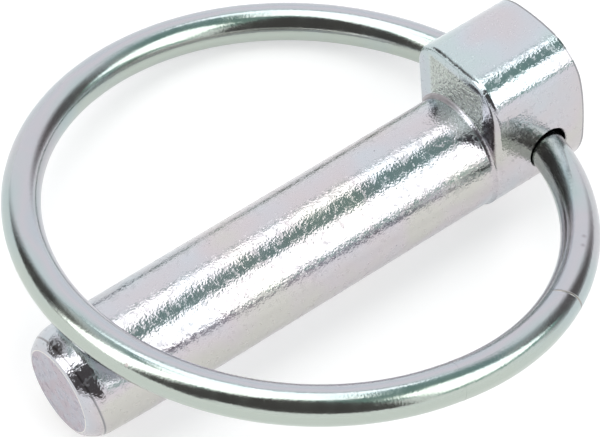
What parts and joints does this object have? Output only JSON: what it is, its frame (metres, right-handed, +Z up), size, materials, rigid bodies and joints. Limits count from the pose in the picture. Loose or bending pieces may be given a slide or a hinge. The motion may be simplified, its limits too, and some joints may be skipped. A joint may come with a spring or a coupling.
{
  "type": "lynch pin",
  "caption": "Forged retaining pin with a one-sided head, and a wire ring that hinges across the head and closes over the tip to hold the pin in its hole",
  "frame": {"origin": "on the bar's axis, where the plain round shank begins in front of the head", "axes": "+X along the bar towards its tip, +Z up with the pin lying on the ground, rolled over until its ring touches"},
  "size_m": [0.0504, 0.0477, 0.0166],
  "materials": {
    "zinc_plated_forging": "bright zinc plating with faint iridescence over forged steel",
    "zinc_plated_wire": "bright zinc plating over drawn spring wire"
  },
  "bodies": {
    "pin": {"pin": "zinc_plated_forging"},
    "ring": {"ring": "zinc_plated_wire"}
  },
  "joints": [
    {"name": "ring_hinge", "type": "hinge", "parent": "pin", "child": "ring", "pos_m": [-0.0064, -0.00014, 0.00048], "axis": [-0.1392, -0.9521, -0.2723], "range_deg": [0, 342]}
  ]
}
